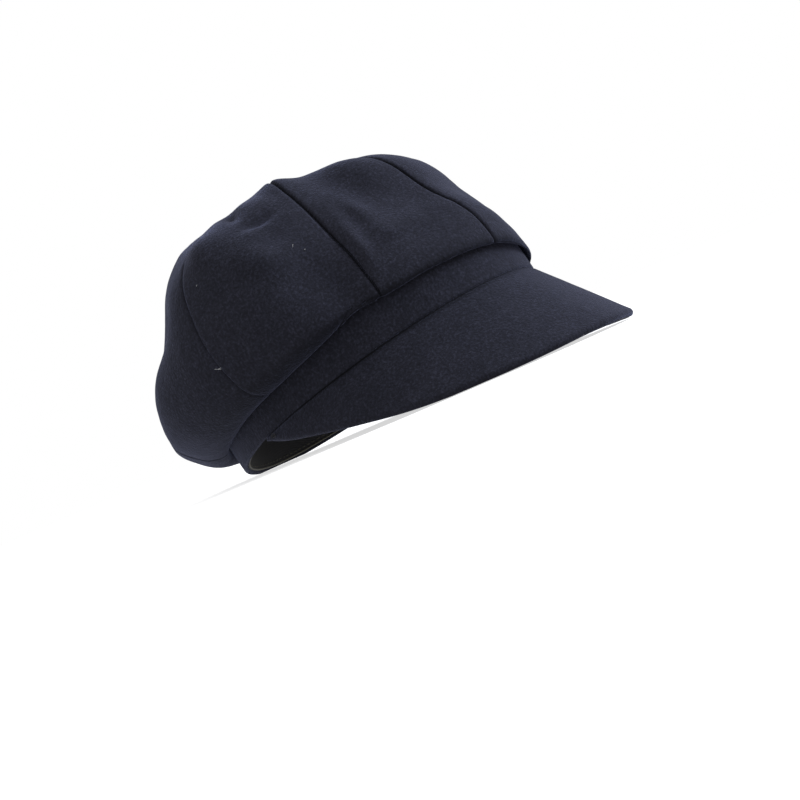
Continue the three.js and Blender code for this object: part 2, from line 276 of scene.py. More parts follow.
WOOL_SHEEN = 0.3
WOOL_UNDER_SHEEN = 0.25
SHEEN_ROUGHNESS = 0.35
SHEEN_TINT = (0.52, 0.57, 0.92, 1.0)
WOOL_SPECULAR = 0.18
FIBRE_SHARE = 0.4  # how much of the colour the fibres give, the grain giving the rest

# The fibres lie two ways: their turn in radians, their stretch, and how many cells they have in a metre.
FIBRES = [
    ((0.4, 0.9, 0.2), (1.0, 0.4, 1.0), 1100.0),
    ((1.3, -0.5, 0.9), (1.0, 1.0, 0.4), 950.0),
]

# How many cells each pattern has in a metre.
GRAIN = 720.0
CLUMPS = 170.0
PATCHES = 38.0

# Height in metres and strength of each bump.
CLUMP_BUMP = (0.0008, 0.35)
GRAIN_BUMP = (0.0007, 0.65)
FIBRE_BUMP = (0.0004, 0.7)

# Looks of the tape and the threads

TWILL_COLOURS = [(0.006, 0.006, 0.007), (0.02, 0.02, 0.023)]
TWILL_RIBS = 420.0  # on the scale of the wave pattern
TWILL_GRAIN = 1500.0  # cells in a metre
TWILL_RIB_BUMP = (0.0002, 0.7)
TWILL_GRAIN_BUMP = (0.0001, 0.5)
THREAD_RIBS = 3200.0  # cells in a metre
THREAD_BUMP = (0.0001, 0.6)

# Camera, with the photo's direction and turn

CAMERA_AZIMUTH = -50.0
CAMERA_ELEVATION = 0.5  # just high enough to look over the floor
CAMERA_ROLL = -23.3
CAMERA_DISTANCE = 1.5  # in metres
CAMERA_SENSOR = 36.0
CAMERA_CLIP_END = 50.0  # in metres
PICTURE_PIXELS = 800
PIXELS_PER_MM = 1.88  # at the cap
AIM_RIGHT = 7.1  # from the middle of the band to the middle of the picture
AIM_UP = -13.5

# Light, with lengths in metres

KEY_PLACE = (1.0, -1.48, 0.95)  # a large soft lamp, high in front and to the wearer's left
KEY_SIZE = 1.1
KEY_POWER = 35.0
KEY_COLOUR = (0.82, 0.88, 1.0)  # cool, so that the lit cloth is bluer than the cloth in shade
FILL_PLACE = (-1.5, 0.5, 0.5)  # a weak one, to the wearer's right
FILL_SIZE = 1.2
FILL_POWER = 1.5
FILL_COLOUR = (1.0, 1.0, 1.0)
LAMP_AIM = (0.0, 0.0, 0.05)
ROOM_ABOVE = 0.62
ROOM_BELOW = 0.57
ROOM_BELOW_END = -0.2  # heights of a direction, between which the room brightens from below to above
ROOM_ABOVE_START = 0.9
WHITE = (1.0, 1.0, 1.0, 1.0)

# Floor, in metres

FLOOR_HALF = 30.0
FLOOR_DROP = 0.0005  # just clear of the cap
FLOOR_COLOUR = (0.9, 0.9, 0.9, 1.0)
FLOOR_GLOW = 0.65


# Curves and directions


def unit(vectors):
    """The same directions with a length of 1."""
    return vectors / np.linalg.norm(vectors, axis=-1, keepdims=True)


def hermite(start, start_slope, end, end_slope, s):
    """Smooth curve from one value to the next, read at a share s of the way between them."""
    return (
        start * (2 * s**3 - 3 * s**2 + 1)
        + start_slope * (s**3 - 2 * s**2 + s)
        + end * (3 * s**2 - 2 * s**3)
        + end_slope * (s**3 - s**2)
    )


def picked(table, index):
    """One entry from each row of a table, as an array of indices says."""
    return np.take_along_axis(table, index[..., None], -1)[..., 0]


def smooth(knots, values, at):
    """Smooth curve through values (..., K) at knots (K), read at an array of the leading shape."""
    knots = np.asarray(knots, float)
    last = len(knots) - 1
    slopes = np.empty_like(values)
    for i in range(last + 1):
        low, high = max(i - 1, 0), min(i + 1, last)
        slopes[..., i] = (values[..., high] - values[..., low]) / (knots[high] - knots[low])
    first = np.clip(np.searchsorted(knots, at) - 1, 0, last - 1)
    span = knots[first + 1] - knots[first]
    return hermite(
        picked(values, first),
        picked(slopes, first) * span,
        picked(values, first + 1),
        picked(slopes, first + 1) * span,
        (at - knots[first]) / span,
    )


# Band's outline


def ring(angle, scale, up):
    """The band's outline, scaled about its middle, at a height."""
    turn = np.radians(angle)
    back = np.maximum(-np.cos(turn), 0)
    half_width = BAND_HALF_WIDTH * (1 - BAND_BACK_TAPER * back**2)
    x = half_width * scale * np.sin(turn)
    y = -BAND_HALF_LENGTH * scale * np.cos(turn)
    return np.stack([x, y, up + 0 * x], -1)


def ring_out(angle):
    """Directions square to the band's outline, pointing out."""
    step = ring(angle + ANGLE_STEP, 1, 0) - ring(angle - ANGLE_STEP, 1, 0)
    return unit(np.stack([step[..., 1], -step[..., 0], 0 * step[..., 0]], -1))


# Crown's surface

CROWN_KNOTS = [0.0, *STATIONS.values(), 1.0]


def stations_at(angle):
    """Every station's distance out and height at an angle, from the rows of the four seams round it."""
    turn = (angle % 360) / PANEL_ANGLE
    first = np.floor(turn).astype(int)
    rows = [CROWN_ROWS[(first + i) % PANELS] for i in (-1, 0, 1, 2)]
    s = (turn - first)[..., None, None]
    return hermite(rows[1], (rows[2] - rows[0]) / 2, rows[2], (rows[3] - rows[1]) / 2, s)


def crown_base(angle, along):
    """The crown's base form, before its puffed panels and folds."""
    angle, along = np.broadcast_arrays(np.asarray(angle, float), np.asarray(along, float))
    stations = stations_at(angle)
    blank = np.zeros(angle.shape + (1,))
    outs = np.concatenate([blank, stations[..., 0], blank - CROWN_REACH], -1)
    foot = blank + BAND_HEIGHT + CLOTH_GAP
    heights = np.concatenate([foot, stations[..., 1], blank + MIDDLE_UP], -1)
    scale = 1 + smooth(CROWN_KNOTS, outs, along) / CROWN_REACH
    points = ring(angle, scale, smooth(CROWN_KNOTS, heights, along))
    points[..., 1] += MIDDLE_BACK * np.maximum(1 - scale, 0)
    return points


def normals(surface, angle, along):
    """Outward directions of a surface given as a function of angle and share along."""
    low = np.maximum(along - ALONG_STEP, 0)
    high = np.minimum(along + ALONG_STEP, MOST_ALONG)
    around = surface(angle + ANGLE_STEP, along) - surface(angle - ANGLE_STEP, along)
    up = surface(angle, high) - surface(angle, low)
    return unit(np.cross(around, up))


def fold_frames():
    """Each fold's middle, the directions along, across and out of it over its sizes, and its lift."""
    frames = []
    for angle, along, heading, length, width, lift in FOLDS:
        angle, along = np.array(float(angle)), np.array(float(along))
        middle = crown_base(angle, along)
        out = normals(crown_base, angle, along)
        around = unit(crown_base(angle + ANGLE_STEP, along) - middle)
        turn = math.radians(heading)
        run = around * math.cos(turn) + np.cross(out, around) * math.sin(turn)
        frames.append((middle, run / length, np.cross(out, run) / width, out / length, lift))
    return frames


FOLD_FRAMES = fold_frames()


def fold_lift(points):
    """How far the folds lift the cloth at points of the crown's base form."""
    lift = np.zeros(points.shape[:-1])
    for middle, run, side, out, height in FOLD_FRAMES:
        away = points - middle
        lift += height * np.exp(-((away @ run) ** 2) - (away @ side) ** 2 - (away @ out) ** 2)
    return lift


def crown_surface(angle, along):
    """The crown with its puffed panels and folds."""
    points = crown_base(angle, along)
    from_middle = np.abs(2 * ((angle / PANEL_ANGLE) % 1) - 1)
    fade = np.clip(np.sin(np.pi * np.minimum(along / PUFF_END, 1)), 0, 1) ** PUFF_CURVE
    puff = PANEL_PUFF * fade * (1 - from_middle**2)
    return points + normals(crown_base, angle, along) * (puff + fold_lift(points))[..., None]


# Unevenness


def soft_waves(points, seed):
    """Slight unevenness of thick cloth at points, the same each time for the same seed."""
    lift = np.zeros(len(points))
    for wavelength, height in SOFT_WAVES:
        shift = Vector((seed * SEED_SHIFT[0], seed * SEED_SHIFT[1], wavelength))
        for i, point in enumerate(points):
            lift[i] += height * noise.noise(Vector(point) / wavelength + shift)
    return lift


def wavy(grid, directions, seed, strength=1.0):
    """A grid of points, moved unevenly along the directions given."""
    lift = soft_waves(grid.reshape(-1, 3), seed).reshape(grid.shape[:-1])
    return grid + directions * (strength * lift)[..., None]


# Peak's surface

PEAK_ANGLES, PEAK_DEPTHS, PEAK_FALLS = (np.array(column, float) for column in zip(*PEAK_ROWS))


def peak_value(values, angle):
    """A column of the peak's rows, read at an array of angles on either side of the middle."""
    table = np.broadcast_to(values, angle.shape + values.shape).copy()
    return smooth(PEAK_ANGLES, table, np.abs(angle))


def peak_depth(angle):
    """How far the peak reaches out from the band."""
    return np.maximum(peak_value(PEAK_DEPTHS, angle), PEAK_LEAST)


def peak_point(angle, share, drop):
    """A point of the peak, at a share of its depth and a distance below its upper face."""
    angle, share, drop = np.broadcast_arrays(*(np.asarray(v, float) for v in (angle, share, drop)))
    fall = np.radians(peak_value(PEAK_FALLS, angle))
    turn = np.radians(angle)
    fan = unit(np.stack([PEAK_SPREAD * np.sin(turn), -np.cos(turn), 0 * turn], -1))
    level = np.stack([0 * turn, 0 * turn, 0 * turn + 1], -1)
    run = fan * np.cos(fall)[..., None] - level * np.sin(fall)[..., None]
    face = fan * np.sin(fall)[..., None] + level * np.cos(fall)[..., None]
    root = ring(angle, 1, -CLOTH_GAP)
    return root + run * (peak_depth(angle) * share)[..., None] - face * drop[..., None]


def lip_profile(angle):
    """How thick the peak is at an angle, as a share of the whole, and the depth where its lip starts."""
    depth = peak_depth(angle)
    scale = np.minimum(1, MOST_LIP * depth / LIP_RADIUS)
    return scale, depth - LIP_RADIUS * scale


# From the cap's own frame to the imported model's

CAD_RING_COLUMNS = 64  # how many columns the CAD model's sweatband has
CAD_SOFT_EDGE = 0.3  # how far its edges are drawn in


def tipped(points):
    """Points turned back about the X axis, as the cap rests."""
    x, y, z = np.moveaxis(points, -1, 0)
    cos, sin = math.cos(REST_TILT), math.sin(REST_TILT)
    return np.stack([x, y * cos + z * sin, z * cos - y * sin], -1)


def sweatband_centre():
    """Where the middle of the sweatband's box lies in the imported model, and in the tipped frame."""
    low, high = (np.array(corner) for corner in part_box("sweatband"))
    angles = np.arange(0, 360, 360 / CAD_RING_COLUMNS)
    outside = BAND_THICKNESS + CLOTH_GAP + CAD_SOFT_EDGE
    inside = BAND_THICKNESS + CLOTH_GAP + SWEATBAND_THICKNESS - CAD_SOFT_EDGE
    edges = [
        ring(angles, 1, up) - ring_out(angles) * set_back
        for up in (SWEATBAND_FOOT, SWEATBAND_FOOT + SWEATBAND_HEIGHT)
        for set_back in (outside, inside)
    ]
    own = tipped(np.concatenate(edges))
    return (low + high) / 2, (own.min(0) + own.max(0)) / 2


CENTRE, OWN_CENTRE = sweatband_centre()


def place(points):
    """Points in the cap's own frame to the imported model's frame, in metres and not below the floor."""
    points = (tipped(np.asarray(points, float)) - OWN_CENTRE) * MM + CENTRE
    points[..., 2] = np.maximum(points[..., 2], 0)
    return points


# Mesh making


def make_object(name, vertices, faces, material):
    """A smooth piece of the scene that rides on the part's one body."""
    mesh = bpy.data.meshes.new(name)
    mesh.from_pydata([tuple(vertex) for vertex in vertices], [], faces)
    mesh.validate()
    mesh.polygons.foreach_set("use_smooth", [True] * len(mesh.polygons))
    mesh.materials.append(material)
    piece = bpy.data.objects.new(name, mesh)
    bpy.context.scene.collection.objects.link(piece)
    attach(piece, "root")
    return piece


def shell_faces(columns, rows, is_ring):
    """Quads of a closed solid between two grids, the outer face's points first."""
    def quad(*corners):
        return tuple((side * columns + c % columns) * rows + r for side, c, r in corners)

    faces = []
    last = columns if is_ring else columns - 1
    top = rows - 1
    for c in range(last):
        for r in range(top):
            faces.append(quad((0, c, r), (0, c + 1, r), (0, c + 1, r + 1), (0, c, r + 1)))
            faces.append(quad((1, c, r), (1, c, r + 1), (1, c + 1, r + 1), (1, c + 1, r)))
        faces.append(quad((0, c, 0), (1, c, 0), (1, c + 1, 0), (0, c + 1, 0)))
        faces.append(quad((0, c, top), (0, c + 1, top), (1, c + 1, top), (1, c, top)))
    if is_ring:
        return faces
    for r in range(top):
        faces.append(quad((0, 0, r), (0, 0, r + 1), (1, 0, r + 1), (1, 0, r)))
        faces.append(quad((0, last, r), (1, last, r), (1, last, r + 1), (0, last, r + 1)))
    return faces


def shell(name, outer, inner, material, is_ring=False, painted_shade=None):
    """A closed sheet. The painted shade of each point of its outer face is given, 0 to 1; its inner face
    gets a little painted shade too.
    """
    columns, rows = outer.shape[:2]
    vertices = place(np.concatenate([outer.reshape(-1, 3), inner.reshape(-1, 3)]))
    piece = make_object(name, vertices, shell_faces(columns, rows, is_ring), material)
    # Painted shade, stored on the points for the wool's colour to darken by.
    depth = np.zeros(columns * rows) if painted_shade is None else painted_shade.reshape(-1)
    layer = piece.data.attributes.new("painted_shade", "FLOAT", "POINT")
    layer.data.foreach_set("value", np.concatenate([depth, np.full(columns * rows, INSIDE_SHADE)]))
    return piece


# Materials


class Nodes:
    """Short names for adding shader nodes to a new material."""

    def __init__(self, name):
        self.material = bpy.data.materials.new(name)
        self.material.use_nodes = True
        self.tree = self.material.node_tree
        self.shader = self.tree.nodes["Principled BSDF"]
        self.where = self.add("ShaderNodeTexCoord").outputs["Object"]

    def add(self, kind, **settings):
        node = self.tree.nodes.new(kind)
        for key, value in settings.items():
            setattr(node, key, value)
        return node

    def link(self, source, target):
        self.tree.links.new(source, target)

    def set_shader(self, socket, value):
        self.shader.inputs[socket].default_value = value

    def link_shader(self, socket, source):
        self.link(source, self.shader.inputs[socket])

    def noise(self, coordinates, scale, detail, roughness=0.55, distortion=0.0):
        node = self.add("ShaderNodeTexNoise")
        node.inputs["Scale"].default_value = scale
        node.inputs["Detail"].default_value = detail
        node.inputs["Roughness"].default_value = roughness
        node.inputs["Distortion"].default_value = distortion
        self.link(coordinates, node.inputs["Vector"])
        return node.outputs["Fac"]

    def ramp(self, factor, *stops):
        """A colour for each value of the factor, from stops of a position and a colour."""
        node = self.add("ShaderNodeValToRGB")
        elements = node.color_ramp.elements
        while len(elements) < len(stops):
            elements.new(0.5)
        for element, (position, colour) in zip(elements, stops):
            element.position = position
            element.color = (*colour, 1.0)
        self.link(factor, node.inputs["Fac"])
        return node.outputs["Color"]

    def mix(self, factor, first, second, blend="MIX"):
        node = self.add("ShaderNodeMix", data_type="RGBA", blend_type=blend)
        node.inputs["Factor"].default_value = factor
        self.link(first, node.inputs["A"])
        self.link(second, node.inputs["B"])
        return node.outputs["Result"]

    def multiplied(self, first, second):
        return self.mix(1.0, first, second, "MULTIPLY")

    def larger(self, first, second):
        node = self.add("ShaderNodeMath", operation="MAXIMUM")
        self.link(first, node.inputs[0])
        self.link(second, node.inputs[1])
        return node.outputs["Value"]

    def bump(self, height, distance, strength, normal=None):
        """Relief from a pattern, on top of the relief of another bump."""
        node = self.add("ShaderNodeBump")
        node.inputs["Distance"].default_value = distance
        node.inputs["Strength"].default_value = strength
        self.link(height, node.inputs["Height"])
        if normal is not None:
            self.link(normal, node.inputs["Normal"])
        return node.outputs["Normal"]

    def stretched(self, turn, stretch):
        """The piece's coordinates turned and stretched, for fibres that lie one way."""
        node = self.add("ShaderNodeMapping")
        node.inputs["Rotation"].default_value = turn
        node.inputs["Scale"].default_value = stretch
        self.link(self.where, node.inputs["Vector"])
        return node.outputs["Vector"]


def wool_material(name, colours, sheen):
    """Felted wool: a mottled ground, short fibres lying two ways, painted shade in creases and a soft
    sheen.
    """
    dark, middle, light = colours
    nodes = Nodes(name)
    one_way, other_way = (
        nodes.noise(nodes.stretched(turn, stretch), cells, detail=2.0, roughness=0.6, distortion=0.6)
        for turn, stretch, cells in FIBRES
    )
    fibres = nodes.larger(one_way, other_way)
    grain = nodes.noise(nodes.where, GRAIN, detail=4.0, roughness=0.6)
    clumps = nodes.noise(nodes.where, CLUMPS, detail=3.0, roughness=0.6)
    patches = nodes.noise(nodes.where, PATCHES, detail=2.0, roughness=0.5)
    # Painted shade, read from the points, darkens the colour in creases, seams and on inner faces.
    painted_shade = nodes.add("ShaderNodeAttribute", attribute_name="painted_shade").outputs["Fac"]

    ground = nodes.ramp(grain, (0.34, dark), (0.52, middle), (0.72, light))
    threads = nodes.ramp(fibres, (0.5, dark), (0.62, middle), (0.78, light))
    mottle = nodes.ramp(clumps, (0.3, (0.88, 0.88, 0.89)), (0.7, (1.1, 1.1, 1.09)))
    drift = nodes.ramp(patches, (0.3, (0.9, 0.9, 0.92)), (0.7, (1.08, 1.07, 1.08)))
    # painted shade: the colour fades towards CREASE_SHADE where the points say so
    shade = nodes.ramp(painted_shade, (0.0, (1.0, 1.0, 1.0)), (1.0, CREASE_SHADE))
    colour = nodes.mix(FIBRE_SHARE, ground, threads)
    for tint in (mottle, drift, shade):
        colour = nodes.multiplied(colour, tint)
    nodes.link_shader("Base Color", colour)

    rough = nodes.ramp(grain, (0.3, (0.86, 0.86, 0.86)), (0.7, (1.0, 1.0, 1.0)))
    nodes.link_shader("Roughness", rough)
    nodes.set_shader("Specular IOR Level", WOOL_SPECULAR)
    nodes.set_shader("Sheen Weight", sheen)
    nodes.set_shader("Sheen Roughness", SHEEN_ROUGHNESS)
    nodes.set_shader("Sheen Tint", SHEEN_TINT)

    normal = nodes.bump(clumps, *CLUMP_BUMP)
    normal = nodes.bump(grain, *GRAIN_BUMP, normal)
    normal = nodes.bump(fibres, *FIBRE_BUMP, normal)
    nodes.link_shader("Normal", normal)
    return nodes.material


def twill_material():
    """Thin black tape: fine slanting ribs."""
    nodes = Nodes("black_twill")
    wave = nodes.add("ShaderNodeTexWave", wave_type="BANDS", bands_direction="DIAGONAL")
    wave.inputs["Scale"].default_value = TWILL_RIBS
    wave.inputs["Distortion"].default_value = 1.2
    wave.inputs["Detail"].default_value = 2.0
    nodes.link(nodes.where, wave.inputs["Vector"])
    ribs = wave.outputs["Fac"]
    grain = nodes.noise(nodes.where, TWILL_GRAIN, detail=3.0)
    dark, light = TWILL_COLOURS
    colour = nodes.ramp(ribs, (0.2, dark), (0.8, light))
    nodes.link_shader("Base Color", colour)
    nodes.set_shader("Roughness", 0.75)
    nodes.set_shader("Sheen Weight", 0.08)
    normal = nodes.bump(ribs, *TWILL_RIB_BUMP)
    normal = nodes.bump(grain, *TWILL_GRAIN_BUMP, normal)
    nodes.link_shader("Normal", normal)
    return nodes.material


def thread_material(name, dark, light):
    """Twisted thread: fine slanting ribs from dark to light."""
    nodes = Nodes(name)
    along_fibres = nodes.stretched((0.5, 0.3, 0.8), (1.0, 0.3, 1.0))
    ribs = nodes.noise(along_fibres, THREAD_RIBS, detail=2.0)
    nodes.link_shader("Base Color", nodes.ramp(ribs, (0.35, dark), (0.65, light)))
    nodes.set_shader("Roughness", 0.8)
    nodes.set_shader("Sheen Weight", 0.2)
    nodes.link_shader("Normal", nodes.bump(ribs, *THREAD_BUMP))
    return nodes.material


WOOL = wool_material("navy_wool", NAVY, WOOL_SHEEN)
WOOL_UNDER = wool_material("navy_wool_under", NAVY_UNDER, WOOL_UNDER_SHEEN)
TWILL = twill_material()
PALE_THREAD = thread_material("pale_lint", (0.3, 0.3, 0.32), (0.62, 0.62, 0.64))
DARK_THREAD = thread_material("dark_thread", (0.003, 0.003, 0.005), (0.012, 0.012, 0.016))
OLIVE_THREAD = thread_material("olive_thread", (0.03, 0.028, 0.018), (0.085, 0.078, 0.052))
GREY_THREAD = thread_material("grey_edge", (0.06, 0.06, 0.075), (0.14, 0.14, 0.18))


# Crown panels


def panel_grid(index):
    """The angle, the share along and the share across of each point of a panel."""
    middle = np.linspace(SEAM_COLUMNS[-1], 1 - SEAM_COLUMNS[-1], MIDDLE_COLUMNS)[1:-1]
    shares = np.concatenate([SEAM_COLUMNS, middle, 1 - np.array(SEAM_COLUMNS[::-1])])
    lower = np.linspace(0, LOWER_PART, LOWER_ROWS)[:-1]
    upper = np.linspace(LOWER_PART, PANEL_TIP, UPPER_ROWS)
    share, along = np.meshgrid(shares, np.concatenate([lower, upper]), indexing="ij")
    return (index + share) * PANEL_ANGLE, along, share


def beside_seam(from_seam, width, fade):
    """1 beside a seam, and 0 beyond the turned edges of its cloth."""
    return (1 + np.tanh((width - from_seam) / fade)) / 2


def seam_relief(along, from_seam, mark):
    """How far a panel is lifted by the turned edges under it, less its roll down into the seam."""
    depth = np.clip((along - DIP_START) / DIP_GROWTH, LEAST_DIP, 1)
    dip = SEAM_DIP * mark * depth * np.exp(-((from_seam / SEAM_ROLL) ** 2))
    ridge = SEAM_RIDGE * mark * beside_seam(from_seam, SEAM_ALLOWANCE, SEAM_ALLOWANCE_FADE)
    return ridge - dip


def panel_thickness(along, from_seam):
    """The thickness of the cloth, and beside a seam that of its turned edges too."""
    bulge = STATIONS["bulge"]
    cloth = TUCK_CLOTH + (CLOTH - TUCK_CLOTH) * np.minimum(along / bulge, 1)
    edge = INNER_EDGE * beside_seam(from_seam, INNER_EDGE_WIDTH, INNER_EDGE_FADE)
    edge = edge * np.clip((along - bulge) / INNER_EDGE_GROWTH, 0, 1)
    edge = edge * np.clip((INNER_EDGE_TOP - along) / INNER_EDGE_GROWTH, 0, 1)
    return cloth + edge


def panel_shade(along, from_seam, mark):
    """How much painted shade a panel's points get: down in a seam, or rolled under against the band."""
    in_seam = mark * np.exp(-((from_seam / SEAM_SHADE_HALF_WIDTH) ** 4))
    tucked = np.clip((TUCK_SHADE_END - along) / TUCK_SHADE_FADE, 0, MOST_TUCK_SHADE)
    return np.maximum(in_seam, tucked)


def crown_panel(index):
    """One gore of cloth, whose edges roll down into the seams on both sides."""
    angle, along, share = panel_grid(index)
    one_degree = np.linalg.norm(crown_base(angle + 1, along) - crown_base(angle, along), axis=-1)
    inset = np.minimum(SEAM_GAP / one_degree, MOST_GAP_ANGLE) * (1 - 2 * share)
    from_seam = np.minimum(share, 1 - share) * PANEL_ANGLE * one_degree
    mark = np.where(share < 0.5, SEAM_MARKS[index], SEAM_MARKS[(index + 1) % PANELS])
    face = crown_surface(angle + inset, along)
    out = normals(crown_surface, angle, along)
    outer = wavy(face, out, CROWN_SEED) + out * seam_relief(along, from_seam, mark)[..., None]
    inner = face - out * panel_thickness(along, from_seam)[..., None]
    # Painted shade down in the seams and where the panel rolls under against the band.
    painted_shade = panel_shade(along, from_seam, mark)
    panel = shell(f"crown_panel_{index + 1}_cloth", outer, inner, WOOL, painted_shade=painted_shade)
    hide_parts(f"crown_panel_{index + 1}")
    return panel


# Band and sweatband


def rounded_wall(name, material, set_back, thickness, foot, height, round_foot, seed):
    """An upright ring of cloth with a rounded foot, and a thinner edge at its top."""
    curved = np.linspace(0, round_foot, ROUND_FOOT_ROWS)[:-1]
    rises = np.concatenate([curved, np.linspace(round_foot, height, RING_ROWS)])
    curve = np.sqrt(np.clip(1 - (1 - np.minimum(rises / round_foot, 1)) ** 2, 0, 1))
    foot_in = thickness / 2 * (1 - curve)
    top_in = RING_TOP_THINNING * thickness * np.exp(-(height - rises) / RING_TOP_FADE)
    angle, rise = np.meshgrid(np.arange(0, 360, RING_STEP), foot + rises, indexing="ij")
    out = ring_out(angle)
    base = ring(angle, 1, rise)
    outer = base - out * (set_back + foot_in + top_in)[None, :, None]
    inner = base - out * (set_back + thickness - foot_in - top_in)[None, :, None]
    outer = wavy(outer, out, seed, FIRM_WAVES)
    # Painted shade near the top, under the crown's roll.
    from_top = foot + height - rise
    painted_shade = np.clip((BAND_SHADE_DROP - from_top) / BAND_SHADE_FADE, 0, MOST_BAND_SHADE)
    wall = shell(name, outer, inner, material, is_ring=True, painted_shade=painted_shade)
    return wall


def make_band():
    band = rounded_wall(
        "band_cloth",
        WOOL,
        set_back=0,
        thickness=BAND_THICKNESS,
        foot=0,
        height=BAND_HEIGHT,
        round_foot=BAND_ROUND_FOOT,
        seed=BAND_SEED,
    )
    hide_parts("band")


def make_sweatband():
    sweatband = rounded_wall(
        "sweatband_tape",
        TWILL,
        set_back=BAND_THICKNESS + CLOTH_GAP,
        thickness=SWEATBAND_THICKNESS,
        foot=SWEATBAND_FOOT,
        height=SWEATBAND_HEIGHT,
        round_foot=SWEATBAND_ROUND_FOOT,
        seed=SWEATBAND_SEED,
    )
    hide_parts("sweatband")


# Peak


def peak_sheet(angles, section, set_in):
    """Points of a sheet from its section at each angle, which lists distances out and drops."""
    scale, lip = lip_profile(angles)
    table = np.array([section(scale[i], lip[i], set_in) for i in range(len(angles))])
    share = table[..., 0] / peak_depth(angles)[:, None]
    return peak_point(angles[:, None], share, table[..., 1])


def cover_section(scale, lip, set_in):
    """Out of the seam, along the top of the peak, round its lip and a little way under it."""
    in_seam = [share * ROOT_TUCK for share in TUCK_SHARES]
    runs = in_seam + [share * lip for share in (*ROOT_SHARES, *COVER_SHARES)]
    dips = [ROOT_DIP * math.exp(-((run / ROOT_ROLL) ** 2)) for run in runs]
    flat = [(run, (set_in + dip) * scale) for run, dip in zip(runs, dips)]
    reach = (LIP_RADIUS - set_in) * scale
    turns = np.linspace(0, LIP_WRAP, LIP_ROWS)[1:]
    roll = [(lip + reach * math.sin(t), LIP_RADIUS * scale - reach * math.cos(t)) for t in turns]
    return flat + roll


def lining_section(scale, lip, set_in):
    """Along the underside of the peak, to an edge that curls up beside the cover's."""
    drop = (2 * LIP_RADIUS - set_in) * scale
    start = lip - LINING_SHORT * scale
    flat = [(share * start, drop) for share in LINING_SHARES]
    reach = (LINING_CURL - set_in) * scale
    turns = np.linspace(0, LINING_CURL_TURN, LINING_CURL_ROWS)[1:]
    curl = [(start + reach * math.sin(t), drop - reach * (1 - math.cos(t))) for t in turns]
    return flat + curl


def make_peak_cover():
    """The cover rolls round the lip and a little way under it, where the lining's edge meets it."""
    angles = np.linspace(PEAK_END, -PEAK_END, PEAK_COLUMNS)
    top = peak_sheet(angles, cover_section, 0)
    inner = peak_sheet(angles, cover_section, COVER_CLOTH)
    outer = wavy(top, unit(top - inner), PEAK_SEED, FIRM_WAVES)
    # Painted shade in the seam with the band and under the lip.
    painted_shade = np.zeros(outer.shape[:2])
    painted_shade[:, : len(ROOT_SHADES)] = ROOT_SHADES
    painted_shade[:, -len(LIP_SHADES) :] = LIP_SHADES
    cover = shell("peak_cover_cloth", outer, inner, WOOL, painted_shade=painted_shade)
    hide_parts("peak_cover")
    return cover


def make_peak_lining():
    angles = np.linspace(PEAK_END, -PEAK_END, PEAK_COLUMNS)
    under = peak_sheet(angles, lining_section, 0)
    hidden = peak_sheet(angles, lining_section, LINING_CLOTH)
    lining = shell("peak_lining_cloth", hidden, under, WOOL_UNDER)
    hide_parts("peak_lining")


# Threads and lint


def strand(points, radius, tapered=True):
    """Vertices and faces of a thin closed thread along points in metres. Its radius is in mm."""
    points = np.asarray(points, float)
    steps = unit(np.gradient(points, axis=0))
    side = unit(np.cross(steps, THREAD_HELPER))
    other = np.cross(steps, side)
    count = len(points)
    share = np.linspace(-1, 1, count)
    radii = radius * MM * (np.sqrt(1 - THREAD_TAPER * share**4) if tapered else np.ones(count))
    turns = np.arange(THREAD_SIDES) * 2 * math.pi / THREAD_SIDES
    rings = [
        points + (side * math.cos(turn) + other * math.sin(turn)) * radii[:, None] for turn in turns
    ]
    return np.stack(rings, 1).reshape(-1, 3), strand_faces(count)


def strand_faces(count):
    """Faces of a thread that has this many rings of points, with its two ends closed."""

    def corner(ring_index, side_index):
        return ring_index * THREAD_SIDES + side_index % THREAD_SIDES

    faces = [
        (corner(i, j), corner(i + 1, j), corner(i + 1, j + 1), corner(i, j + 1))
        for i in range(count - 1)
        for j in range(THREAD_SIDES)
    ]
    faces.append(tuple(corner(0, j) for j in range(THREAD_SIDES)))
    faces.append(tuple(corner(count - 1, j) for j in reversed(range(THREAD_SIDES))))
    return faces


def thread_object(name, strands, material):
    """One piece from several strands, none of which goes below the floor."""
    vertices, faces = [], []
    for own_vertices, own_faces in strands:
        start = len(vertices)
        own_vertices[:, 2] = np.maximum(own_vertices[:, 2], 0)
        vertices.extend(own_vertices)
        faces.extend(tuple(start + corner for corner in face) for face in own_faces)
    return make_object(name, vertices, faces, material)


def touch(piece, point):
    """The place on a piece nearest to a point in the cap's own frame, and the way out of it there."""
    target = Vector(place(np.array([point]))[0])
    nearest = min(piece.data.vertices, key=lambda vertex: (vertex.co - target).length_squared)
    return np.array(nearest.co), np.array(nearest.normal)


def make_lint(panels):
    """A white thread end on one seam, and a few specks of pale lint."""
    source = random.Random(LINT_SEED)
    strands = []
    shares = np.linspace(0, 1, LINT_POINTS)[:, None]
    lift = LINT_LIFT + LINT_ARCH * shares * (1 - shares)
    for angle, along, count, length in LINT:
        panel = panels[int((angle % 360) // PANEL_ANGLE)]
        at, out = touch(panel, crown_surface(np.array(angle), np.array(along)))
        flat = unit(np.cross(out, LINT_HELPER))
        for _ in range(count):
            turn = source.uniform(0, 2 * math.pi)
            run = flat * math.cos(turn) + np.cross(out, flat) * math.sin(turn)
            bend = np.cross(out, run) * source.uniform(-LINT_BEND, LINT_BEND)
            path = MM * length * (run * shares + bend * shares**2) + MM * out * lift
            strands.append(strand(at + path, LINT_RADIUS))
    thread_object("lint", strands, PALE_THREAD)


